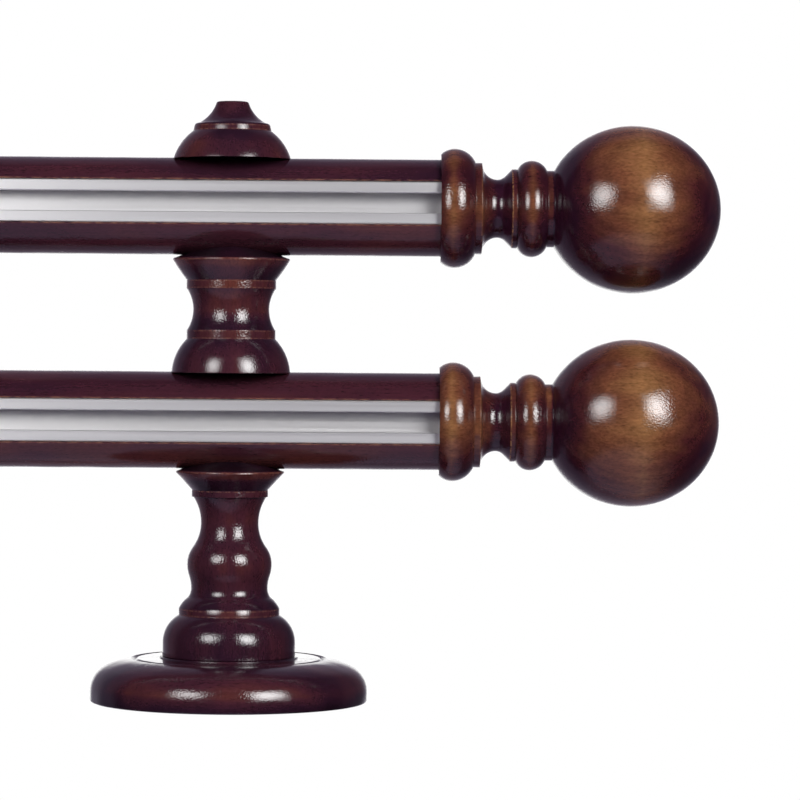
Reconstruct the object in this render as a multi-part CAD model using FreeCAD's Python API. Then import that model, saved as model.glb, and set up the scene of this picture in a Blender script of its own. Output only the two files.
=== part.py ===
import FreeCAD, Part

import math
import os

from FreeCAD import Vector

# Double curtain pole: two grooved wooden poles with aluminium tracks, turned brackets and ball finials.
# Millimetres and degrees. +X runs along the poles, +Y into the wall, +Z up. The wall is the plane y = 0,
# the pole axes lie at z = 0, and the origin is midway between the two wall fixings.

# Poles
POLE_DIAMETER = 35.0
POLE_LENGTH = 1200.0
BRACKET_FROM_END = 75.0
FRONT_TRACK_LEAN = 5.0
REAR_TRACK_LEAN = 0.0
GROOVE_PLAY = 0.15
GROOVE_EASE = 0.4

# Aluminium track, a C section that opens downwards
TRACK_WIDTH = 15.2
TRACK_DEPTH = 8.0
TRACK_SINK = 0.3
TRACK_SLOT = 7.2
TRACK_WALL = 1.2
TRACK_LIP = 1.2
TRACK_EASE = 0.3

# Countersunk screws that hold the track in its groove
SCREW_COUNT = 3
SCREW_SPACING = 350.0
SCREW_DIAMETER = 3.0
SCREW_LENGTH = 14.0
SCREW_HEAD_DIAMETER = 5.6
SCREW_RECESS_WIDTH = 0.8
SCREW_RECESS_DEPTH = 0.8

# Rosette, the turned wall plate
ROSETTE_RADIUS = 50.0
ROSETTE_BACK_EASE = 0.8
ROSETTE_SIDE = 3.0
ROSETTE_SHOULDER_RISE = 8.7
ROSETTE_SHOULDER_INSET = 5.0
ROSETTE_CROWN_RISE = 3.0
ROSETTE_CROWN_BULGE = 0.64
ROSETTE_GROOVE_OUTSIDE_FOOT = 10.0
ROSETTE_GROOVE_WIDTH = 2.4
ROSETTE_GROOVE_DEPTH = 0.8
ROSETTE_RING_RISE = 0.2
ROSETTE_SEAT_RISE = 0.5
ROSETTE_SEAT_RIM = 1.0
ROSETTE_SEAT_ROUND = 0.6

# Leg, turned between the rosette and the rear pole
LEG_FOOT_RADIUS = 24.0
LEG_FOOT_EASE = 0.5
LEG_FOOT_SIDE = 4.5
LEG_FOOT_ROUND = 10.0
LEG_LOWER_BAND_RADIUS = 18.2
LEG_LOWER_BAND = 2.3
LEG_SHOULDER_RADIUS = 14.8
LEG_SHOULDER = 4.1
LEG_SHOULDER_BULGE = 0.35
LEG_WAIST_RADIUS = 13.85
LEG_WAIST = 3.1
LEG_BELLY_RADIUS = 15.3
LEG_BELLY = 8.7
LEG_NECK_RADIUS = 10.4
LEG_NECK = 14.8
LEG_NECK_TURN = 0.42
LEG_THROAT_RADIUS = 13.3
LEG_THROAT = 9.5
LEG_UPPER_BAND_RADIUS = 13.8
LEG_UPPER_BAND = 2.4
LEG_RIM_RADIUS = 19.5
LEG_FLARE = 6.2
LEG_RIM_TO_POLE = 0.6

# Spacer, turned between the two poles
SPACER_BASE_RADIUS = 21.45
SPACER_BASE_ROUND = 12.2
SPACER_BASE_BULGE = 1.2
SPACER_LOWER_BAND_RADIUS = 16.05
SPACER_LOWER_BAND = 3.0
SPACER_WAIST_RADIUS = 13.75
SPACER_WAIST_BELOW = 7.5
SPACER_WAIST_ABOVE = 7.5
SPACER_UPPER_BAND_RADIUS = 16.2
SPACER_UPPER_BAND = 3.0
SPACER_RIM_RADIUS = 21.1
SPACER_FLARE = 7.2
SPACER_FLARE_BULGE = 0.15
SPACER_RIM_TO_POLE = 1.0

# Rounded rim edge and shallow cone that the leg and the spacer end in
RIM_EDGE = 0.8
RIM_EDGE_BULGE = 0.2
RIM_EDGE_INSET = 0.4
SEAT_CONE_SLOPE = 0.36
BASE_BITE = 0.4
SADDLE_PLAY = 0.05

# Cap in front of the front pole
CAP_BASE_RADIUS = 21.2
CAP_BASE_ROUND = 10.1
CAP_BASE_BULGE = 1.05
CAP_BAND_FOOT_RADIUS = 14.1
CAP_BAND_RADIUS = 13.7
CAP_BAND = 1.8
CAP_LIP_RADIUS = 12.6
CAP_LIP = 0.9
CAP_LIP_BULGE = 0.25
CAP_TOP_RADIUS = 5.85
CAP_HOLLOW = 7.3
CAP_HOLLOW_BULGE = 1.05
CAP_TOP_EASE = 0.5
CAP_TOP_INSET = 0.9
CAP_TOP_BULGE = 0.2

# Ball finial
FINIAL_FACE_RADIUS = 19.6
COLLAR_RADIUS = 21.5
COLLAR_BACK = 4.9
COLLAR_FRONT_RADIUS = 17.0
COLLAR_FRONT = 7.5
FILLET_RADIUS = 16.5
FILLET_WIDTH = 2.4
FILLET_BEVEL = 0.6
COVE_START_RADIUS = 14.3
COVE_RADIUS = 10.5
COVE_DOWN = 5.0
COVE_TURN_RADIUS = 11.5
COVE_TURN = 2.5
COVE_SLOPE = 2.7
LISTEL_RADIUS = 14.3
LISTEL_WIDTH = 1.7
BEAD_FOOT_RADIUS = 13.85
BEAD_RADIUS = 17.4
BEAD_BACK = 5.4
BEAD_FRONT = 5.6
COLLET_WIDTH = 2.4
BALL_RADIUS = 30.2
BALL_HALF_LENGTH = 31.9

# Tie rod, wall sleeve and cap insert
TIE_ROD_DIAMETER = 6.0
ROD_PLAY = 0.25
THREAD_PLAY = 0.05
INSERT_WALL = 2.0
INSERT_PLAY = 0.05
WALL_BOLT_DIAMETER = 8.0
WALL_BOLT_DEPTH = 14.5
SLEEVE_WALL = 2.0
SLEEVE_LENGTH = 34.0
SLEEVE_FLANGE_RADIUS = 13.0
SLEEVE_FLANGE = 2.0
CAP_INSERT_LENGTH = 9.5
CAP_INSERT_SINK = 1.0
BORE_END_ROOM = 0.5

# Finial studs and the inserts in the pole ends
STUD_DIAMETER = 6.0
STUD_IN_POLE = 16.0
STUD_IN_FINIAL = 24.0

POLE_RADIUS = POLE_DIAMETER / 2
ROD_RADIUS = TIE_ROD_DIAMETER / 2
ROD_BORE_RADIUS = ROD_RADIUS + ROD_PLAY
STUD_RADIUS = STUD_DIAMETER / 2
WALL_BOLT_RADIUS = WALL_BOLT_DIAMETER / 2
SLEEVE_RADIUS = WALL_BOLT_RADIUS + SLEEVE_WALL
CAP_INSERT_RADIUS = ROD_RADIUS + THREAD_PLAY + INSERT_WALL
POLE_INSERT_RADIUS = STUD_RADIUS + THREAD_PLAY + INSERT_WALL

ORIGIN = Vector(0, 0, 0)
X_AXIS = Vector(1, 0, 0)
Y_AXIS = Vector(0, 1, 0)
Z_AXIS = Vector(0, 0, 1)


class Turning:
    """Half outline of a turned piece. Heights run along its axis from its foot, radii out from the axis."""

    def __init__(self, radius):
        self.edges = []
        self.tip = Vector(radius, 0, 0)
        self.start = self.tip

    def step(self, rise, radius):
        before = self.tip
        self.tip = Vector(radius, 0, before.z + rise)
        return before

    def straight(self, rise, radius):
        before = self.step(rise, radius)
        self.edges.append(Part.makeLine(before, self.tip))

    def bow(self, rise, radius, bulge):
        """An arc that swells outwards by bulge, or is hollow where bulge is negative."""
        before = self.step(rise, radius)
        chord = self.tip - before
        outward = Vector(chord.z, 0, -chord.x).normalize()
        middle = (before + self.tip) * 0.5 + outward * bulge
        self.edges.append(Part.Arc(before, middle, self.tip).toShape())

    def level_bulge(self, rise, radius):
        """Bulge of an arc over this step that is parallel to the axis at its end."""
        widening = radius - self.tip.x
        return math.hypot(rise, widening) / 2 * math.tan(math.atan2(widening, rise) / 2)

    def leave_level(self, rise, radius):
        """An arc that sets off parallel to the axis."""
        self.bow(rise, radius, -self.level_bulge(rise, radius))

    def arrive_level(self, rise, radius):
        """An arc that ends parallel to the axis."""
        self.bow(rise, radius, self.level_bulge(rise, radius))

    def wave(self, rise, radius, turn=0.5):
        """Two arcs, level at both ends, that change over at the share turn of the way."""
        middle_radius = self.tip.x + (radius - self.tip.x) * turn
        self.leave_level(rise * turn, middle_radius)
        self.arrive_level(rise * (1 - turn), radius)

    def ball(self, radius, half_length):
        """Closes the outline with an ellipse that meets the last radius and ends on the axis."""
        before = self.tip
        centre = Vector(0, 0, before.z + half_length * math.sqrt(1 - (before.x / radius) ** 2))
        self.tip = centre + Z_AXIS * half_length
        side = centre + X_AXIS * radius
        if half_length >= radius:
            ellipse = Part.Ellipse(self.tip, side, centre)
        else:
            ellipse = Part.Ellipse(side, self.tip, centre)
        bounds = sorted([ellipse.parameter(before), ellipse.parameter(self.tip)])
        if ellipse.value(sum(bounds) / 2).x < 0:
            bounds = [bounds[1], bounds[0] + 2 * math.pi]
        self.edges.append(Part.ArcOfEllipse(ellipse, bounds[0], bounds[1]).toShape())

    def solid(self):
        top = Vector(0, 0, self.tip.z)
        if self.tip.x > 0:
            self.edges.append(Part.makeLine(self.tip, top))
        self.edges.append(Part.makeLine(top, ORIGIN))
        self.edges.append(Part.makeLine(ORIGIN, self.start))
        outline = Part.Wire(Part.__sortEdges__(self.edges))
        return Part.Face(outline).revolve(ORIGIN, Z_AXIS, 360)


def one_solid(shape):
    """The single solid of a boolean's result, with its split faces merged."""
    return shape.removeSplitter().Solids[0]


def bore(radius, bottom, top):
    return Part.makeCylinder(radius, top - bottom, Z_AXIS * bottom, Z_AXIS)


def lying_pole(height):
    """The round of a pole that crosses a bracket piece at this height, with the seat's play."""
    end = Vector(-POLE_LENGTH / 2, 0, height)
    return Part.makeCylinder(POLE_RADIUS + SADDLE_PLAY, POLE_LENGTH, end, X_AXIS)


def saddle_cone(post):
    """Rounds the rim and adds the shallow cone that is cut to a saddle. Returns the height of the rim."""
    post.bow(RIM_EDGE, post.tip.x - RIM_EDGE_INSET, RIM_EDGE_BULGE)
    rim = post.tip.z
    post.straight(post.tip.x * SEAT_CONE_SLOPE, 0)
    return rim


def rosette_outline():
    plate = Turning(ROSETTE_RADIUS - ROSETTE_BACK_EASE)
    plate.arrive_level(ROSETTE_BACK_EASE, ROSETTE_RADIUS)
    plate.straight(ROSETTE_SIDE, ROSETTE_RADIUS)
    plate.leave_level(ROSETTE_SHOULDER_RISE, ROSETTE_RADIUS - ROSETTE_SHOULDER_INSET)
    groove_radius = LEG_FOOT_RADIUS + ROSETTE_GROOVE_OUTSIDE_FOOT
    plate.bow(ROSETTE_CROWN_RISE, groove_radius + ROSETTE_GROOVE_WIDTH / 2, ROSETTE_CROWN_BULGE)
    plate.straight(-ROSETTE_GROOVE_DEPTH, groove_radius)
    plate.straight(ROSETTE_GROOVE_DEPTH, groove_radius - ROSETTE_GROOVE_WIDTH / 2)
    seat_radius = LEG_FOOT_RADIUS + ROSETTE_SEAT_RIM
    plate.straight(ROSETTE_RING_RISE, seat_radius)
    plate.leave_level(ROSETTE_SEAT_RISE, seat_radius - ROSETTE_SEAT_ROUND)
    return plate


def leg_outline():
    post = Turning(LEG_FOOT_RADIUS - LEG_FOOT_EASE)
    post.arrive_level(LEG_FOOT_EASE, LEG_FOOT_RADIUS)
    post.straight(LEG_FOOT_SIDE, LEG_FOOT_RADIUS)
    post.leave_level(LEG_FOOT_ROUND, LEG_LOWER_BAND_RADIUS)
    post.straight(LEG_LOWER_BAND, LEG_LOWER_BAND_RADIUS)
    post.bow(LEG_SHOULDER, LEG_SHOULDER_RADIUS, LEG_SHOULDER_BULGE)
    post.arrive_level(LEG_WAIST, LEG_WAIST_RADIUS)
    post.wave(LEG_BELLY, LEG_BELLY_RADIUS)
    post.wave(LEG_NECK, LEG_NECK_RADIUS, LEG_NECK_TURN)
    post.leave_level(LEG_THROAT, LEG_THROAT_RADIUS)
    post.straight(0, LEG_UPPER_BAND_RADIUS)
    post.straight(LEG_UPPER_BAND, LEG_UPPER_BAND_RADIUS)
    post.straight(LEG_FLARE, LEG_RIM_RADIUS)
    return post


def spacer_outline():
    post = Turning(SPACER_BASE_RADIUS)
    post.bow(SPACER_BASE_ROUND, SPACER_LOWER_BAND_RADIUS, SPACER_BASE_BULGE)
    post.straight(SPACER_LOWER_BAND, SPACER_LOWER_BAND_RADIUS)
    post.arrive_level(SPACER_WAIST_BELOW, SPACER_WAIST_RADIUS)
    post.leave_level(SPACER_WAIST_ABOVE, SPACER_UPPER_BAND_RADIUS)
    post.straight(SPACER_UPPER_BAND, SPACER_UPPER_BAND_RADIUS)
    post.bow(SPACER_FLARE, SPACER_RIM_RADIUS, SPACER_FLARE_BULGE)
    return post


def cap_outline():
    knob = Turning(CAP_BASE_RADIUS)
    knob.bow(CAP_BASE_ROUND, CAP_BAND_FOOT_RADIUS, CAP_BASE_BULGE)
    knob.straight(CAP_BAND, CAP_BAND_RADIUS)
    knob.bow(CAP_LIP, CAP_LIP_RADIUS, CAP_LIP_BULGE)
    knob.bow(CAP_HOLLOW, CAP_TOP_RADIUS, -CAP_HOLLOW_BULGE)
    knob.bow(CAP_TOP_EASE, CAP_TOP_RADIUS - CAP_TOP_INSET, CAP_TOP_BULGE)
    return knob


def finial_outline():
    knob = Turning(FINIAL_FACE_RADIUS)
    knob.arrive_level(COLLAR_BACK, COLLAR_RADIUS)
    knob.leave_level(COLLAR_FRONT, COLLAR_FRONT_RADIUS)
    knob.straight(0, FILLET_RADIUS)
    knob.straight(FILLET_WIDTH, FILLET_RADIUS)
    knob.straight(FILLET_BEVEL, COVE_START_RADIUS)
    knob.arrive_level(COVE_DOWN, COVE_RADIUS)
    knob.leave_level(COVE_TURN, COVE_TURN_RADIUS)
    knob.straight(COVE_SLOPE, LISTEL_RADIUS)
    knob.straight(LISTEL_WIDTH, LISTEL_RADIUS)
    knob.straight(0, BEAD_FOOT_RADIUS)
    knob.arrive_level(BEAD_BACK, BEAD_RADIUS)
    knob.leave_level(BEAD_FRONT, BEAD_FOOT_RADIUS)
    knob.straight(COLLET_WIDTH, BEAD_FOOT_RADIUS)
    knob.ball(BALL_RADIUS, BALL_HALF_LENGTH)
    return knob


# Heights along the bracket, out from the wall
rosette_turning = rosette_outline()
SEAT = rosette_turning.tip.z
leg_turning = leg_outline()
leg_rim = saddle_cone(leg_turning)
REAR_POLE_OUT = SEAT + leg_rim + LEG_RIM_TO_POLE + POLE_RADIUS
SPACER_OUT = REAR_POLE_OUT + POLE_RADIUS - BASE_BITE
spacer_turning = spacer_outline()
spacer_rim = saddle_cone(spacer_turning)
FRONT_POLE_OUT = SPACER_OUT + spacer_rim + SPACER_RIM_TO_POLE + POLE_RADIUS
CAP_OUT = FRONT_POLE_OUT + POLE_RADIUS - BASE_BITE
CAP_BORE_END = CAP_INSERT_SINK + CAP_INSERT_LENGTH + BORE_END_ROOM
SLEEVE_IN_LEG = SLEEVE_LENGTH - SEAT
ROD_END = CAP_OUT + CAP_INSERT_SINK + CAP_INSERT_LENGTH


def rosette():
    plate = rosette_turning.solid()
    plate = plate.cut(bore(SLEEVE_RADIUS + INSERT_PLAY, 0, SEAT))
    return one_solid(plate.cut(bore(SLEEVE_FLANGE_RADIUS + INSERT_PLAY, 0, SLEEVE_FLANGE)))


def bracket_leg():
    post = leg_turning.solid().cut(lying_pole(REAR_POLE_OUT - SEAT))
    post = post.cut(bore(SLEEVE_RADIUS + INSERT_PLAY, 0, SLEEVE_IN_LEG + BORE_END_ROOM))
    return one_solid(post.cut(bore(ROD_BORE_RADIUS, 0, REAR_POLE_OUT - SEAT)))


def bracket_spacer():
    post = spacer_turning.solid().cut(lying_pole(REAR_POLE_OUT - SPACER_OUT))
    post = post.cut(lying_pole(FRONT_POLE_OUT - SPACER_OUT))
    return one_solid(post.cut(bore(ROD_BORE_RADIUS, 0, FRONT_POLE_OUT - SPACER_OUT)))


def bracket_cap():
    knob = cap_outline().solid().cut(lying_pole(FRONT_POLE_OUT - CAP_OUT))
    return one_solid(knob.cut(bore(CAP_INSERT_RADIUS + INSERT_PLAY, 0, CAP_BORE_END)))


def tie_rod():
    return bore(ROD_RADIUS, WALL_BOLT_DEPTH + BORE_END_ROOM, ROD_END)


def wall_sleeve():
    sleeve = bore(SLEEVE_RADIUS, 0, SLEEVE_LENGTH).fuse(bore(SLEEVE_FLANGE_RADIUS, 0, SLEEVE_FLANGE))
    sleeve = sleeve.cut(bore(WALL_BOLT_RADIUS, 0, WALL_BOLT_DEPTH))
    return one_solid(sleeve.cut(bore(ROD_RADIUS + THREAD_PLAY, WALL_BOLT_DEPTH, SLEEVE_LENGTH)))


def threaded_insert(outer_radius, thread_radius, bottom, top):
    return one_solid(bore(outer_radius, bottom, top).cut(bore(thread_radius + THREAD_PLAY, bottom, top)))


def finial():
    knob = finial_outline().solid()
    return one_solid(knob.cut(bore(STUD_RADIUS + THREAD_PLAY, 0, STUD_IN_FINIAL + BORE_END_ROOM)))


# Section of the pole and its track, seen along +X: distances across and down from the pole's axis
GROOVE_HALF = TRACK_WIDTH / 2 + GROOVE_PLAY
GROOVE_EDGE = math.sqrt(POLE_RADIUS**2 - GROOVE_HALF**2)
TRACK_FACE = GROOVE_EDGE - TRACK_SINK
TRACK_BACK = TRACK_FACE - TRACK_DEPTH
TRACK_FLOOR = TRACK_BACK + TRACK_WALL


def extruded_section(half_outline):
    """A bar along the whole pole from one half of its section, mirrored about the upright."""
    mirrored = [(-across, down) for across, down in reversed(half_outline)]
    corners = [Vector(-POLE_LENGTH / 2, across, -down) for across, down in half_outline + mirrored]
    return Part.Face(Part.makePolygon(corners + corners[:1])).extrude(X_AXIS * POLE_LENGTH)


def groove():
    """The cut that takes the track, with eased edges at its mouth."""
    ease_start = GROOVE_EDGE - GROOVE_EASE
    flare = POLE_DIAMETER - ease_start
    return extruded_section(
        [
            (GROOVE_HALF, TRACK_BACK),
            (GROOVE_HALF, ease_start),
            (GROOVE_HALF + flare, ease_start + flare),
        ]
    )


def screw_body(play):
    """A countersunk screw that points up, with the face of its head at height 0."""
    shank_radius = SCREW_DIAMETER / 2 + play
    head_radius = SCREW_HEAD_DIAMETER / 2 + play
    head = Part.makeCone(head_radius, shank_radius, head_radius - shank_radius)
    return head.fuse(bore(shank_radius, 0, SCREW_LENGTH + play))


def cross_recess():
    length = SCREW_HEAD_DIAMETER / 2
    slot = Part.makeBox(length, SCREW_RECESS_WIDTH, SCREW_RECESS_DEPTH)
    slot.translate(Vector(-length / 2, -SCREW_RECESS_WIDTH / 2, 0))
    crossing = slot.copy()
    crossing.rotate(ORIGIN, Z_AXIS, 90)
    return slot.fuse(crossing)


def along_track(shape):
    """Copies of a screw, or of its hole, at each screw's place in the floor of the track."""
    copies = []
    for number in range(SCREW_COUNT):
        along = (number - (SCREW_COUNT - 1) / 2) * SCREW_SPACING
        copy = shape.copy()
        copy.translate(Vector(along, 0, -TRACK_FLOOR))
        copies.append(copy)
    return copies


def track():
    slot_half = TRACK_SLOT / 2
    inner_half = TRACK_WIDTH / 2 - TRACK_WALL
    bar = extruded_section(
        [
            (TRACK_WIDTH / 2, TRACK_BACK),
            (TRACK_WIDTH / 2, TRACK_FACE - TRACK_EASE),
            (TRACK_WIDTH / 2 - TRACK_EASE, TRACK_FACE),
            (slot_half + TRACK_EASE, TRACK_FACE),
            (slot_half, TRACK_FACE - TRACK_EASE),
            (slot_half, TRACK_FACE - TRACK_LIP),
            (inner_half, TRACK_FACE - TRACK_LIP),
            (inner_half, TRACK_FLOOR),
        ]
    )
    return one_solid(bar.cut(along_track(screw_body(THREAD_PLAY))))


def track_screws():
    screw = one_solid(screw_body(0).cut(cross_recess()))
    return Part.makeCompound(along_track(screw))


def pole():
    """A pole about its own axis, before it is drilled for the brackets."""
    end = Vector(-POLE_LENGTH / 2, 0, 0)
    end_bore = POLE_INSERT_RADIUS + INSERT_PLAY
    end_depth = STUD_IN_POLE + BORE_END_ROOM
    bar = Part.makeCylinder(POLE_RADIUS, POLE_LENGTH, end, X_AXIS)
    bar = bar.cut(groove())
    bar = bar.cut(along_track(screw_body(THREAD_PLAY)))
    bar = bar.cut(Part.makeCylinder(end_bore, end_depth, end, X_AXIS))
    return bar.cut(Part.makeCylinder(end_bore, end_depth, -end, -X_AXIS))


def on_pole(shape, out, lean):
    """Sets a piece of a pole at this distance from the wall, leaning its track away from the wall."""
    placed = shape.copy()
    placed.rotate(ORIGIN, X_AXIS, -lean)
    placed.translate(Vector(0, -out, 0))
    return placed


def on_bracket(shape, side, out):
    """Points an upright piece away from the wall on the bracket of this side."""
    placed = shape.copy()
    placed.rotate(ORIGIN, X_AXIS, 90)
    placed.translate(Vector(side * (POLE_LENGTH / 2 - BRACKET_FROM_END), -out, 0))
    return placed


def on_pole_end(shape, side, out):
    """Points an upright piece outwards on the pole's end of this side."""
    placed = shape.copy()
    placed.rotate(ORIGIN, Y_AXIS, side * 90)
    placed.translate(Vector(side * POLE_LENGTH / 2, -out, 0))
    return placed


SIDES = {"right": 1, "left": -1}
POLES = {"front": (FRONT_POLE_OUT, FRONT_TRACK_LEAN), "rear": (REAR_POLE_OUT, REAR_TRACK_LEAN)}
BRACKET_PIECES = {
    "rosette": (rosette(), 0),
    "bracket_leg": (bracket_leg(), SEAT),
    "bracket_spacer": (bracket_spacer(), SPACER_OUT),
    "bracket_cap": (bracket_cap(), CAP_OUT),
    "tie_rod": (tie_rod(), 0),
    "wall_sleeve": (wall_sleeve(), 0),
    "cap_insert": (
        threaded_insert(CAP_INSERT_RADIUS, ROD_RADIUS, 0, CAP_INSERT_LENGTH),
        CAP_OUT + CAP_INSERT_SINK,
    ),
}
END_PIECES = {
    "finial": finial(),
    "finial_stud": bore(STUD_RADIUS, -STUD_IN_POLE, STUD_IN_FINIAL),
    "pole_insert": threaded_insert(POLE_INSERT_RADIUS, STUD_RADIUS, -STUD_IN_POLE, 0),
}

nodes = {}

for pole_name, (out, lean) in POLES.items():
    bar = on_pole(pole(), out, lean)
    for side in SIDES.values():
        bar = bar.cut(on_bracket(bore(ROD_BORE_RADIUS, out - POLE_RADIUS, out + POLE_RADIUS), side, 0))
    nodes[f"{pole_name}_pole"] = one_solid(bar)
    nodes[f"{pole_name}_track"] = on_pole(track(), out, lean)
    nodes[f"{pole_name}_track_screws"] = on_pole(track_screws(), out, lean)
    for side_name, side in SIDES.items():
        for piece_name, shape in END_PIECES.items():
            nodes[f"{pole_name}_{side_name}_{piece_name}"] = on_pole_end(shape, side, out)

for side_name, side in SIDES.items():
    for piece_name, (shape, out) in BRACKET_PIECES.items():
        nodes[f"{side_name}_{piece_name}"] = on_bracket(shape, side, out)

os.makedirs("parts", exist_ok=True)
for node_name, shape in nodes.items():
    shape.exportStep(f"parts/{node_name}.step")
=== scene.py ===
import math

import bmesh
import bpy
from mathutils import Matrix, Vector


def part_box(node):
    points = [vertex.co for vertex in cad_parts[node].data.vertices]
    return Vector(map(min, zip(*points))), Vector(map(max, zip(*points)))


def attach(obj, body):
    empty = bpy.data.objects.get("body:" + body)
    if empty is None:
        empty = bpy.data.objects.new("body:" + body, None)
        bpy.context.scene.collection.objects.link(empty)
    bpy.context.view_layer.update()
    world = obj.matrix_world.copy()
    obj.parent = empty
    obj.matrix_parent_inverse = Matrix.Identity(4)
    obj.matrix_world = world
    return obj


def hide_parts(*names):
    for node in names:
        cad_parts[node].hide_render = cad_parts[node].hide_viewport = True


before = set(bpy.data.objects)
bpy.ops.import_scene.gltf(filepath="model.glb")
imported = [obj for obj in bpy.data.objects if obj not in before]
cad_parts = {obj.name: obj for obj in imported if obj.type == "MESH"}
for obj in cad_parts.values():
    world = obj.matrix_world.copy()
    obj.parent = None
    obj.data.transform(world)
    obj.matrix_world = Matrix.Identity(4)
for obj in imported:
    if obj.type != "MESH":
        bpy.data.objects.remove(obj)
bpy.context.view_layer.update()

# Double curtain pole, dressed: metres, +X along the poles, +Y into the wall, +Z up.
MM = 0.001

# Sizes in millimetres, as in the solids
POLE_RADIUS = 17.5
POLE_HALF_LENGTH = 600.0
GROOVE_HALF_WIDTH = 7.75
GROOVE_FLOOR = 7.24
GROOVE_EASE = 0.4
FINIAL_LENGTH = 101.0
TRACK_LEAN = {"front": 5.0, "rear": 0.0}

# Steps round the pole, fine enough for a smooth highlight, and across the eased edges of its groove
POLE_STEPS = 120
EASE_STEPS = 3
# Corners of facets that lie closer than this, in mm, are joined, and edges flatter than this shade smoothly
WELD = 0.002
SMOOTH_ANGLE = math.radians(30.0)

SIDES = ("right", "left")
ROWS = ("front", "rear")
# Each turned piece of a bracket, with the distance of its foot from the wall and its length
BRACKET_PIECES = {
    "rosette": (0.0, 16.2),
    "bracket_leg": (16.2, 70.3),
    "bracket_spacer": (118.3, 45.1),
    "bracket_cap": (195.1, 20.6),
}

# How pale each turning is drawn along its length, as (height above its foot in mm, share): painted shade,
# darker in the hollows and under the poles, where shade falls, and paler on the bands and rims
PAINTED_LIGHT_AND_SHADE = {
    "rosette": ((0.0, 0.7), (6.0, 1.25), (12.2, 1.0), (15.4, 0.8), (16.2, 0.7)),
    "bracket_leg": (
        (0.0, 0.7), (4.0, 0.75), (10.0, 0.65), (14.6, 0.55), (15.1, 0.9), (17.2, 0.9), (17.7, 0.5),
        (21.0, 0.6), (25.0, 0.8), (33.0, 1.0), (41.0, 0.85), (49.0, 1.15), (55.0, 1.05), (57.4, 0.9),
        (57.8, 1.0), (59.8, 1.0), (60.2, 0.55), (63.2, 0.65), (64.6, 1.2), (66.8, 1.3), (67.2, 0.3)),
    "bracket_spacer": (
        (0.0, 0.85), (5.0, 0.8), (11.9, 0.6), (12.3, 1.1), (15.1, 1.1), (15.6, 0.5), (18.4, 0.6),
        (22.0, 1.1), (28.0, 1.0), (30.0, 0.8), (30.4, 1.15), (33.1, 1.15), (33.6, 0.6), (37.4, 0.8),
        (39.0, 1.15), (41.0, 1.2), (41.5, 0.3)),
    "bracket_cap": (
        (0.0, 1.0), (5.0, 1.0), (9.7, 0.7), (10.2, 1.05), (11.8, 1.05), (12.4, 0.7), (16.0, 0.9),
        (20.6, 1.0)),
}
# Heights above the foot, in mm, of the turned edges that are rubbed through to paler wood
RUBBED_EDGES = {
    "rosette": (),
    "bracket_leg": (15.2, 17.1, 59.6, 66.4),
    "bracket_spacer": (12.4, 15.0, 30.5, 33.0, 40.5),
    "bracket_cap": (10.3, 11.8),
}
# The same two along a finial, from the pole's end, where the shares give painted light on the ball's middle
# and painted shade in the hollows and towards the ball's ends
FINIAL_PAINTED_LIGHT_AND_SHADE = (
    (0.0, 0.6), (2.0, 0.8), (4.2, 1.1), (7.5, 0.7), (11.8, 0.5), (12.6, 0.75), (14.8, 0.75), (15.5, 0.6),
    (18.0, 0.6), (20.5, 0.25), (25.2, 0.2), (25.7, 0.6), (27.2, 0.6), (27.7, 0.45), (30.0, 0.6),
    (32.7, 1.0), (35.5, 0.55), (38.0, 0.4), (38.5, 0.7), (40.0, 0.7), (40.5, 0.15), (46.0, 0.2),
    (50.0, 0.5), (57.0, 0.8), (64.0, 1.0), (72.0, 1.3), (79.0, 0.95), (90.0, 0.6), (101.0, 0.4))
FINIAL_EDGES = (14.8, 25.7)
# How much paler each row's pole and finials are drawn: painted shade darkens the front row and painted light
# brightens the rear row, evening out how differently the two rows are lit
ROW_LIGHT_AND_SHADE = {"front": -0.02, "rear": 0.05}
# Painted shade on one side of a piece: the side that is drawn darker, how much, and whether on the opposite
# side too
POLE_SHADED_SIDE = ((0.0, -1.0, 0.0), 0.12, False)
FINIAL_SHADED_SIDE = ((0.0, 1.0, 0.0), 0.24, False)
ROSETTE_SHADED_SIDES = ((1.0, 0.0, 0.0), 0.26, True)
POST_SHADED_SIDES = ((1.0, 0.0, 0.0), 0.0, True)
# The level of a toner share of 1, the levels at which the four stains show, and how far blotches move them
EVEN_TONER = 0.5
STAIN_LEVELS = (0.1, 0.3, 0.5, 0.72)
BLOTCH_SWAY = 0.13

# Patterns: length and width of the spots in mm, along and across the grain, and how much finer detail
BLOTCH = (60.0, 15.0, 3.0)
STREAK = (25.0, 0.8, 2.0)
PORE = (3.0, 0.5, 1.0)
BEECH_RAY = (1.6, 0.8, 2.0)
WORN_SPOT = (2.4, 1.0, 3.0)
ORANGE_PEEL = (0.7, 0.6, 0.0)
PEEL_PATCH = (26.0, 18.0, 1.0)
SANDING_WAVE = (11.0, 8.0, 0.0)
METAL_CLOUD = (60.0, 12.0, 3.0)
LINE_DETAIL = 2.0
# The span in which nearly all of a pattern's values lie
SPAN = {"From Min": 0.3, "From Max": 0.7}
# How much a full streak darkens and lightens the stain, and a growth ring's darkest and palest shade
STREAK_DARK = 0.2
STREAK_PALE = 0.13
RING_SHADES = (0.87, 1.05)
# How strongly the streaks and the mottle show, and the least and the most orange peel: the dark stain hides
# most of the mottle, and its lacquer is rubbed down smoother
PALE_FINISH = (0.5, 0.22, 0.5, 2.2)
DARK_FINISH = (0.65, 0.12, 0.35, 1.8)
# The growth rings' distance in mm, and how their layers lie in the ball
RING_PITCH = 3.4
RING_TILT = (math.radians(28.0), math.radians(6.0), 0.0)
# The repeat of the wave texture at scale 1
WAVE_REPEAT = 2 * math.pi / 20
# Half width of a rubbed edge, radius of the eased arrises and depth of the lacquer's unevenness, in mm
RUB_HALF_WIDTH = 0.25
ARRIS_RADIUS = 0.5
FILM_DEPTH = 0.035
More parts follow.
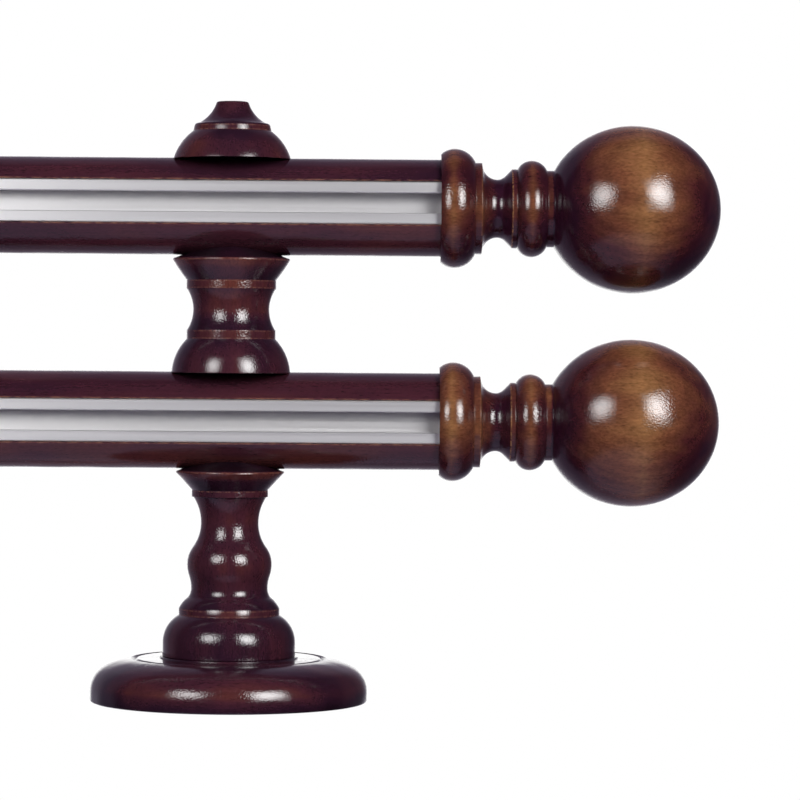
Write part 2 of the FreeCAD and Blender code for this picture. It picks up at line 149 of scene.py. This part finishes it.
# Depth of the open pores and of the sanding waves, as shares of the orange peel's
PORE_DEPTH = 0.7
WAVE_DEPTH = 6.0
# How far a metal's roughness changes from line to line, and how much wider its sheen is across the lines
ROUGHNESS_SWAY = 0.06
SHEEN_SPREAD = 0.6

# Studio, in metres: the point that the lamps face, and the direction that is up in the picture
SUBJECT = Vector((0.586, -0.109, 0.0))
PICTURE_TOP = Vector((0.0, -1.0, 0.0))
# Directions in which the white sweep and the pale table lie
SWEEP = Vector((-0.06, 0.06, 1.0)).normalized()
TABLE = Vector((0.0, 1.0, -0.25)).normalized()
ROOM_POWER = 1.3
FLOOR_HALF_SIZE = 8.0
FLOOR_DROP = 2.2
FLOOR_GLOW = 0.75
CAMERA_PLACE = Vector((0.57412, -0.13078, -1.31004))
CAMERA_TARGET = Vector((0.58600, -0.10893, 0.0))
CAMERA_TOP = Vector((-0.00774, -0.99983, 0.01675))
# Lens and sensor in millimetres, and how far the camera sees in metres
LENS = 163.7
SENSOR = 36.0
FAR = 50.0


def linear(code):
    """A colour written as sRGB hex, as linear red, green, blue and alpha."""
    parts = [int(code[i:i + 2], 16) / 255 for i in (0, 2, 4)]
    return [p / 12.92 if p <= 0.04045 else ((p + 0.055) / 1.055) ** 2.4 for p in parts] + [1.0]


def add(tree, kind, inputs=None, **settings):
    """Adds a node: settings are its properties, inputs its sockets' values or the sockets that feed them."""
    node = tree.nodes.new(kind)
    for key, value in settings.items():
        setattr(node, key, value)
    for key, value in (inputs or {}).items():
        if isinstance(value, bpy.types.NodeSocket):
            tree.links.new(value, node.inputs[key])
        else:
            node.inputs[key].default_value = value
    return node


def new_material(name):
    """An empty node material with its surface shader and output, ready for its patterns."""
    material = bpy.data.materials.new(name)
    material.use_nodes = True
    tree = material.node_tree
    tree.nodes.clear()
    shader = add(tree, "ShaderNodeBsdfPrincipled")
    add(tree, "ShaderNodeOutputMaterial", {"Surface": shader.outputs["BSDF"]})
    return material, tree, shader


def speck(tree, coords, grain, along, across, detail):
    """Noise whose spots are so many millimetres long and wide, drawn out along the grain axis."""
    scale = [1 / (across * MM)] * 3
    scale["XYZ".index(grain)] = 1 / (along * MM)
    mapping = add(tree, "ShaderNodeMapping", {"Vector": coords, "Scale": scale})
    noise = add(tree, "ShaderNodeTexNoise", {"Vector": mapping.outputs[0], "Scale": 1.0, "Detail": detail})
    return noise.outputs["Fac"]


def ramp(tree, value, marks):
    """A colour ramp through the marks, each a place from 0 to 1 and its colour."""
    node = add(tree, "ShaderNodeValToRGB", {0: value})
    stops = node.color_ramp.elements
    stops.remove(stops[1])
    stops[0].position, stops[0].color = marks[0]
    for place, colour in marks[1:]:
        stops.new(place).color = colour
    return node.outputs["Color"]


def lacquered_wood(name, grain, stains, pale, shaded_side, painted_lift=0.0, turning=None, ringed=False):
    """Stained hardwood, turned and sanded, sprayed with dark toner and then with gloss lacquer: along a
    turning, painted shade darkens the hollows and painted light leaves the crowns warm, fine pores run along
    the grain and break up a hard bright highlight, and the edges are rubbed through to paler wood. The stains
    run from the darkest level to the palest; the shaded-side setting names the side drawn darker as painted
    shade, how much, and whether on the opposite side too; and the lift says how much paler this piece is
    drawn as painted light, or, below zero, how much darker as painted shade."""
    material, tree, shader = new_material(name)
    coords = add(tree, "ShaderNodeTexCoord").outputs["Object"]
    blotch = speck(tree, coords, grain, *BLOTCH)
    streak = speck(tree, coords, grain, *STREAK)
    pores = speck(tree, coords, grain, *PORE)
    rays = speck(tree, coords, grain, *BEECH_RAY)
    worn = speck(tree, coords, grain, *WORN_SPOT)
    peel = speck(tree, coords, grain, *ORANGE_PEEL)
    rough = speck(tree, coords, grain, *PEEL_PATCH)
    wave = speck(tree, coords, grain, *SANDING_WAVE)
    streaky, uneven, least_peel, most_peel = PALE_FINISH if ringed else DARK_FINISH

    if turning is None:
        light_and_shade_level = EVEN_TONER
        mask = add(tree, "ShaderNodeAttribute", attribute_name="rubbed").outputs["Fac"]
    else:
        axis, first, length, painted_levels, edges = turning
        place = add(tree, "ShaderNodeSeparateXYZ", {0: coords}).outputs[axis]
        out = add(tree, "ShaderNodeMath", {0: place}, operation="ABSOLUTE")
        along = add(tree, "ShaderNodeMapRange",
                    {"Value": out.outputs[0], "From Min": first * MM,
                     "From Max": (first + length) * MM}).outputs[0]
        shares = [(height / length, (share * EVEN_TONER,) * 3 + (1.0,)) for height, share in painted_levels]
        rubs = [((height + step) / length, (share,) * 3 + (1.0,)) for height in edges
                for step, share in ((-RUB_HALF_WIDTH, 0.0), (0.0, 1.0), (RUB_HALF_WIDTH, 0.0))]
        # Painted light and shade along the turning, from its table of shares
        light_and_shade_level = ramp(tree, along, shares)
        mask = ramp(tree, along, rubs) if rubs else 0.0
    # The row's painted light and shade shift every level, and the blotches sway it
    sway = add(tree, "ShaderNodeMapRange",
               {"Value": blotch, **SPAN,
                "To Min": painted_lift - BLOTCH_SWAY, "To Max": painted_lift + BLOTCH_SWAY})
    level = add(tree, "ShaderNodeMath", {0: light_and_shade_level, 1: sway.outputs[0]}, operation="ADD")
    # Painted shade: surfaces that face the given side are drawn darker
    dark_side, amount, both_sides = shaded_side
    facing = add(tree, "ShaderNodeVectorMath",
                 {0: add(tree, "ShaderNodeNewGeometry").outputs["Normal"], 1: dark_side},
                 operation="DOT_PRODUCT").outputs["Value"]
    if both_sides:
        facing = add(tree, "ShaderNodeMath", {0: facing}, operation="ABSOLUTE").outputs[0]
    side_shade = add(tree, "ShaderNodeMapRange", {"Value": facing, "To Max": -amount})
    level = add(tree, "ShaderNodeMath", {0: level.outputs[0], 1: side_shade.outputs[0]}, operation="ADD")
    stain = ramp(tree, level.outputs[0],
                 [(at, linear(code)) for at, code in zip(STAIN_LEVELS, stains)])
    shade = add(tree, "ShaderNodeMapRange",
                {"Value": streak, **SPAN,
                 "To Min": 1.0 - STREAK_DARK * streaky, "To Max": 1.0 + STREAK_PALE * streaky})
    veils = [shade]
    if ringed:
        # The growth rings, cut by the ball into nested arches
        turn = add(tree, "ShaderNodeMapping",
                   {"Vector": coords, "Rotation": RING_TILT, "Scale": (1 / MM, 1 / MM, 1 / MM)})
        rings = add(tree, "ShaderNodeTexWave",
                    {"Vector": turn.outputs[0], "Scale": WAVE_REPEAT / RING_PITCH, "Distortion": 5.0,
                     "Detail": 3.0, "Detail Scale": 0.35},
                    wave_type="BANDS", bands_direction="Z", wave_profile="SIN")
        ring_shade = add(tree, "ShaderNodeMapRange",
                         {"Value": rings.outputs["Fac"], "To Min": RING_SHADES[0], "To Max": RING_SHADES[1]})
        veils.append(ring_shade)
    # The beech's rays take up the stain unevenly and leave a fine mottle
    mottle = add(tree, "ShaderNodeMapRange",
                 {"Value": rays, **SPAN,
                  "To Min": 1.0 - uneven, "To Max": 1.0 + uneven})
    dark_pores = add(tree, "ShaderNodeMapRange",
                     {"Value": pores, "From Min": 0.6, "From Max": 0.72, "To Min": 1.0, "To Max": 0.68})
    colour = stain
    for veil in veils + [mottle, dark_pores]:
        colour = add(tree, "ShaderNodeMix", {0: 1.0, 6: colour, 7: veil.outputs[0]},
                     data_type="RGBA", blend_type="MULTIPLY").outputs[2]
    wear = add(tree, "ShaderNodeMapRange",
               {"Value": worn, "From Min": 0.38, "From Max": 0.64, "To Min": 0.0, "To Max": 0.8})
    rub = add(tree, "ShaderNodeMath", {0: mask, 1: wear.outputs[0]}, operation="MULTIPLY")
    colour = add(tree, "ShaderNodeMix", {0: rub.outputs[0], 6: colour, 7: linear(pale)}, data_type="RGBA")

    # The spray's orange peel, heavier in patches, over open pores and the waves of hand sanding, with the
    # arrises eased
    patch = add(tree, "ShaderNodeMapRange",
                {"Value": rough, "From Min": 0.42, "From Max": 0.6,
                 "To Min": least_peel, "To Max": most_peel})
    skin = add(tree, "ShaderNodeMath", {0: peel, 1: patch.outputs[0]}, operation="MULTIPLY")
    film = skin
    for hollow, depth in ((pores, PORE_DEPTH), (wave, WAVE_DEPTH)):
        film = add(tree, "ShaderNodeMath", {0: hollow, 1: depth, 2: film.outputs[0]},
                   operation="MULTIPLY_ADD")
    arris = add(tree, "ShaderNodeBevel", {"Radius": ARRIS_RADIUS * MM}, samples=4)
    bump = add(tree, "ShaderNodeBump",
               {"Height": film.outputs[0], "Strength": 1.0, "Distance": FILM_DEPTH * MM,
                "Normal": arris.outputs[0]})
    tree.links.new(colour.outputs[2], shader.inputs["Base Color"])
    tree.links.new(bump.outputs[0], shader.inputs["Coat Normal"])
    tree.links.new(bump.outputs[0], shader.inputs["Normal"])
    shader.inputs["Roughness"].default_value = 0.5
    shader.inputs["Specular IOR Level"].default_value = 0.0
    shader.inputs["Coat Weight"].default_value = 1.0
    shader.inputs["Coat Roughness"].default_value = 0.12
    shader.inputs["Coat IOR"].default_value = 1.58
    return material


def metal(name, body, tint, roughness, along, across, line_depth):
    """Bare metal whose surface was drawn, rolled or plated: a soft wide sheen with fine lines along it."""
    material, tree, shader = new_material(name)
    coords = add(tree, "ShaderNodeTexCoord").outputs["Object"]
    cloud = speck(tree, coords, "X", *METAL_CLOUD)
    lines = speck(tree, coords, "X", along, across, LINE_DETAIL)
    colour = add(tree, "ShaderNodeMix", {0: cloud, 6: linear(body), 7: linear(tint)}, data_type="RGBA")
    dull = add(tree, "ShaderNodeMapRange",
               {"Value": lines, **SPAN,
                "To Min": roughness - ROUGHNESS_SWAY, "To Max": roughness + ROUGHNESS_SWAY})
    bump = add(tree, "ShaderNodeBump", {"Height": lines, "Strength": 1.0, "Distance": line_depth * MM})
    tree.links.new(colour.outputs[2], shader.inputs["Base Color"])
    tree.links.new(dull.outputs[0], shader.inputs["Roughness"])
    tree.links.new(bump.outputs[0], shader.inputs["Normal"])
    # Light spreads across the lines and stays narrow along them
    spread = add(tree, "ShaderNodeCombineXYZ", {"Y": 0.8, "Z": 0.6})
    tree.links.new(spread.outputs[0], shader.inputs["Tangent"])
    shader.inputs["Anisotropic"].default_value = SHEEN_SPREAD
    shader.inputs["Metallic"].default_value = 1.0
    return material


# Dark mahogany-stained beech under gloss lacquer, from the darkest level to the palest, which painted light
# and shade move, and rubbed
MAHOGANY = (("140a13", "2a1422", "411f28", "5c2f26"), "80594a")
# One copy for each row, drawn paler or darker by that row's painted light and shade
pole_lacquer = {
    row: lacquered_wood("mahogany_lacquered_beech_" + row, "X", *MAHOGANY, POLE_SHADED_SIDE, ROW_LIGHT_AND_SHADE[row])
    for row in ROWS
}
bracket_lacquer = {
    piece: lacquered_wood("mahogany_lacquered_beech_" + piece, "X" if piece == "rosette" else "Y", *MAHOGANY,
                          ROSETTE_SHADED_SIDES if piece == "rosette" else POST_SHADED_SIDES,
                          turning=("Y", foot, length, PAINTED_LIGHT_AND_SHADE[piece], RUBBED_EDGES[piece]))
    for piece, (foot, length) in BRACKET_PIECES.items()
}
# Walnut-stained beech under the same lacquer, browner and paler
WALNUT = (("2a0f1e", "441e20", "6a3f2b", "885e3b"), "b07e52")
# One copy for each row, drawn paler or darker by that row's painted light and shade
finial_lacquer = {
    row: lacquered_wood("walnut_lacquered_beech_" + row, "X", *WALNUT, FINIAL_SHADED_SIDE, ROW_LIGHT_AND_SHADE[row],
                        turning=("X", POLE_HALF_LENGTH, FINIAL_LENGTH, FINIAL_PAINTED_LIGHT_AND_SHADE, FINIAL_EDGES),
                        ringed=True)
    for row in ROWS
}
# Metals: body and tint, roughness, then length, width and depth of the lines in mm
aluminium = metal("extruded_aluminium", "ecebec", "f7f6f6", 0.48, 150.0, 0.4, 0.001)
zinc_steel = metal("zinc_plated_steel", "b4b6b8", "c8c6bc", 0.32, 4.0, 0.6, 0.003)
brass = metal("machined_brass", "c9a45c", "d8b878", 0.3, 2.0, 0.4, 0.003)


def dress(node, material):
    """Gives a carried-over solid its material."""
    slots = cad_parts[node].data.materials
    slots.clear()
    slots.append(material)


def stand_for(node, bm, material):
    """Makes the finished mesh a piece that takes the place of a solid."""
    mesh = bpy.data.meshes.new(node + "_turned")
    bm.to_mesh(mesh)
    bm.free()
    mesh.materials.append(material)
    piece = bpy.data.objects.new(node + "_turned", mesh)
    bpy.context.scene.collection.objects.link(piece)
    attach(piece, "root")
    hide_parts(node)


def smooth_by_angle(bm):
    """Rounds the shading of gentle edges and keeps the turned arrises crisp."""
    for face in bm.faces:
        face.smooth = True
    for edge in bm.edges:
        edge.smooth = edge.is_manifold and edge.calc_face_angle() < SMOOTH_ANGLE


def turned_piece(node, material):
    """A turned solid with its facets joined, so that its lacquer shades smoothly."""
    bm = bmesh.new()
    bm.from_mesh(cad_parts[node].data)
    bmesh.ops.remove_doubles(bm, verts=bm.verts, dist=WELD * MM)
    smooth_by_angle(bm)
    stand_for(node, bm, material)


def grooved_pole(row):
    """A round pole with the track's groove along its underside, the groove's edges eased and rubbed."""
    node = row + "_pole"
    low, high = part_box(node)
    axis = Vector((0.0, (low.y + high.y) / 2, 0.0))
    edge_down = math.sqrt(POLE_RADIUS ** 2 - GROOVE_HALF_WIDTH ** 2)
    open_angle = 2 * math.asin(GROOVE_HALF_WIDTH / POLE_RADIUS)
    bm = bmesh.new()
    rubbed = bm.verts.layers.float.new("rubbed")
    start = bm.verts.new((-POLE_HALF_LENGTH, GROOVE_HALF_WIDTH, -edge_down))
    bmesh.ops.spin(bm, geom=[start], cent=(0.0, 0.0, 0.0), axis=(1.0, 0.0, 0.0),
                   angle=2 * math.pi - open_angle, steps=POLE_STEPS)
    bm.verts.ensure_lookup_table()
    end = bm.verts[-1]
    corner_a = bm.verts.new((-POLE_HALF_LENGTH, GROOVE_HALF_WIDTH, -GROOVE_FLOOR))
    corner_b = bm.verts.new((-POLE_HALF_LENGTH, -GROOVE_HALF_WIDTH, -GROOVE_FLOOR))
    for pair in ((start, corner_a), (corner_a, corner_b), (corner_b, end)):
        bm.edges.new(pair)
    outline = bmesh.ops.edgenet_fill(bm, edges=bm.edges[:])["faces"]
    swept = bmesh.ops.extrude_face_region(bm, geom=outline, use_keep_orig=True)["geom"]
    bmesh.ops.translate(bm, verts=[v for v in swept if isinstance(v, bmesh.types.BMVert)],
                        vec=(2 * POLE_HALF_LENGTH, 0.0, 0.0))
    lip_verts = {v for v in bm.verts
                 if abs(abs(v.co.y) - GROOVE_HALF_WIDTH) < 0.01 and v.co.z < -edge_down + 0.01}
    lips = [e for e in bm.edges
            if lip_verts.issuperset(e.verts) and abs(e.verts[0].co.x - e.verts[1].co.x) > POLE_HALF_LENGTH]
    eased = bmesh.ops.bevel(bm, geom=lips, offset=GROOVE_EASE, offset_type="OFFSET", affect="EDGES",
                            segments=EASE_STEPS, profile=0.5, material=-1)
    for vert in eased["verts"]:
        vert[rubbed] = 1.0
    bmesh.ops.recalc_face_normals(bm, faces=bm.faces[:])
    lean = Matrix.Rotation(-math.radians(TRACK_LEAN[row]), 4, "X")
    bmesh.ops.transform(bm, matrix=Matrix.Translation(axis) @ lean @ Matrix.Scale(MM, 4), verts=bm.verts[:])
    smooth_by_angle(bm)
    stand_for(node, bm, pole_lacquer[row])


for row in ROWS:
    grooved_pole(row)
    dress(row + "_track", aluminium)
    dress(row + "_track_screws", zinc_steel)
    for side in SIDES:
        end_name = row + "_" + side
        turned_piece(end_name + "_finial", finial_lacquer[row])
        dress(end_name + "_finial_stud", zinc_steel)
        dress(end_name + "_pole_insert", brass)
for side in SIDES:
    for piece in BRACKET_PIECES:
        turned_piece(side + "_" + piece, bracket_lacquer[piece])
    dress(side + "_tie_rod", zinc_steel)
    dress(side + "_wall_sleeve", zinc_steel)
    dress(side + "_cap_insert", brass)


def aimed(place, target, top):
    """A place and turn that look at the target, with the given direction kept upwards."""
    back = (place - target).normalized()
    right = top.cross(back).normalized()
    return Matrix.Translation(place) @ Matrix((right, back.cross(right), back)).transposed().to_4x4()


# Studio: white all round for the camera, a white sweep behind the object, dim on the camera's side
world = bpy.data.worlds.new("studio")
bpy.context.scene.world = world
world.use_nodes = True
sky = world.node_tree
sky.nodes.clear()
sight = add(sky, "ShaderNodeTexCoord").outputs["Generated"]
sweep = add(sky, "ShaderNodeVectorMath", {0: sight, 1: SWEEP}, operation="DOT_PRODUCT")
glow = ramp(sky, sweep.outputs["Value"], [
    (0.30, linear("282331")), (0.38, linear("5c5466")), (0.62, linear("625a6e")), (0.72, linear("766f80")),
    (0.93, linear("8e8898")), (0.975, (1.35, 1.35, 1.35, 1.0))])
table = add(sky, "ShaderNodeVectorMath", {0: sight, 1: TABLE}, operation="DOT_PRODUCT")
haze = ramp(sky, table.outputs["Value"], [(0.68, linear("000000")), (0.78, linear("888099"))])
both = add(sky, "ShaderNodeMix", {0: 1.0, 6: glow, 7: haze}, data_type="RGBA", blend_type="LIGHTEN")
# A dark flag stands past the finials, so that their right sides stay brown
flag = add(sky, "ShaderNodeMapRange",
           {"Value": add(sky, "ShaderNodeSeparateXYZ", {0: sight}).outputs["X"],
            "From Min": 0.2, "From Max": 0.5, "To Min": 1.0, "To Max": 0.3})
room = add(sky, "ShaderNodeMix", {0: 1.0, 6: both.outputs[2], 7: flag.outputs[0]},
           data_type="RGBA", blend_type="MULTIPLY")
seen = add(sky, "ShaderNodeLightPath")
tone = add(sky, "ShaderNodeMix",
           {0: seen.outputs["Is Camera Ray"], 6: room.outputs[2], 7: linear("ffffff")}, data_type="RGBA")
power = add(sky, "ShaderNodeMapRange",
            {"Value": seen.outputs["Is Camera Ray"], "To Min": ROOM_POWER, "To Max": 1.0})
background = add(sky, "ShaderNodeBackground", {"Color": tone.outputs[2], "Strength": power.outputs[0]})
add(sky, "ShaderNodeOutputWorld", {"Surface": background.outputs[0]})


def softbox(name, towards, distance, width, height, radiance, hot_spot=1.8, mirrored=True):
    """A rectangular lamp that faces the object and fades from its hot spot to its rim, its brightness given
    as light per area and angle, and mirrored in the gloss or not."""
    lamp = bpy.data.lights.new(name, "AREA")
    lamp.shape = "RECTANGLE"
    lamp.size = width
    lamp.size_y = height
    lamp.energy = radiance * math.pi * width * height
    lamp.use_nodes = True
    tree = lamp.node_tree
    tree.nodes.clear()
    spot = add(tree, "ShaderNodeNewGeometry").outputs["Parametric"]
    off = add(tree, "ShaderNodeVectorMath", {0: spot, 1: (0.5, 0.5, 0.0)}, operation="DISTANCE")
    fade = add(tree, "ShaderNodeMapRange",
               {"Value": off.outputs["Value"], "From Min": 0.08, "From Max": 0.56,
                "To Min": hot_spot, "To Max": 0.2},
               interpolation_type="SMOOTHSTEP")
    cloth = add(tree, "ShaderNodeEmission", {"Strength": fade.outputs[0]})
    add(tree, "ShaderNodeOutputLight", {"Surface": cloth.outputs[0]})
    holder = bpy.data.objects.new(name, lamp)
    holder.matrix_world = aimed(SUBJECT + Vector(towards).normalized() * distance, SUBJECT, PICTURE_TOP)
    holder.visible_camera = False
    holder.visible_glossy = mirrored
    bpy.context.scene.collection.objects.link(holder)


softbox("right_softbox", (0.53, -0.36, -0.77), distance=2.2, width=1.35, height=1.6, radiance=9.0)
softbox("left_softbox", (-0.556, -0.35, -0.755), distance=1.0, width=0.64, height=0.66, radiance=2.7,
        hot_spot=3.7)
# Lamps for the sides that the picture doesn't show
softbox("top_fill", (0.0, -0.25, 1.0), distance=2.4, width=1.6, height=1.2, radiance=11.0, mirrored=False)
softbox("front_fill", (-0.1, -0.8, 0.6), distance=2.6, width=3.0, height=2.0, radiance=0.5, mirrored=False)
softbox("wall_fill", (-0.3, 0.75, 0.6), distance=2.6, width=1.8, height=1.2, radiance=9.0, mirrored=False)

floor_mesh = bpy.data.meshes.new("floor")
bm = bmesh.new()
bmesh.ops.create_grid(bm, x_segments=1, y_segments=1, size=FLOOR_HALF_SIZE)
bmesh.ops.translate(bm, verts=bm.verts[:], vec=(0.0, 0.0, -FLOOR_DROP))
bm.to_mesh(floor_mesh)
bm.free()
pale_floor, tree, shader = new_material("pale_painted_floor")
shader.inputs["Base Color"].default_value = linear("f2f2f2")
shader.inputs["Roughness"].default_value = 0.9
shader.inputs["Emission Color"].default_value = linear("ffffff")
seen = add(tree, "ShaderNodeLightPath")
bright = add(tree, "ShaderNodeMath", {0: seen.outputs["Is Camera Ray"], 1: FLOOR_GLOW}, operation="MULTIPLY")
tree.links.new(bright.outputs[0], shader.inputs["Emission Strength"])
floor_mesh.materials.append(pale_floor)
floor = bpy.data.objects.new("floor", floor_mesh)
floor.visible_glossy = False
floor.visible_diffuse = False
bpy.context.scene.collection.objects.link(floor)

camera_data = bpy.data.cameras.new("camera")
camera_data.sensor_width = SENSOR
camera_data.lens = LENS
camera_data.clip_end = FAR
camera = bpy.data.objects.new("camera", camera_data)
camera.matrix_world = aimed(CAMERA_PLACE, CAMERA_TARGET, CAMERA_TOP)
bpy.context.scene.collection.objects.link(camera)
bpy.context.scene.camera = camera
bpy.context.scene.view_settings.view_transform = "Standard"
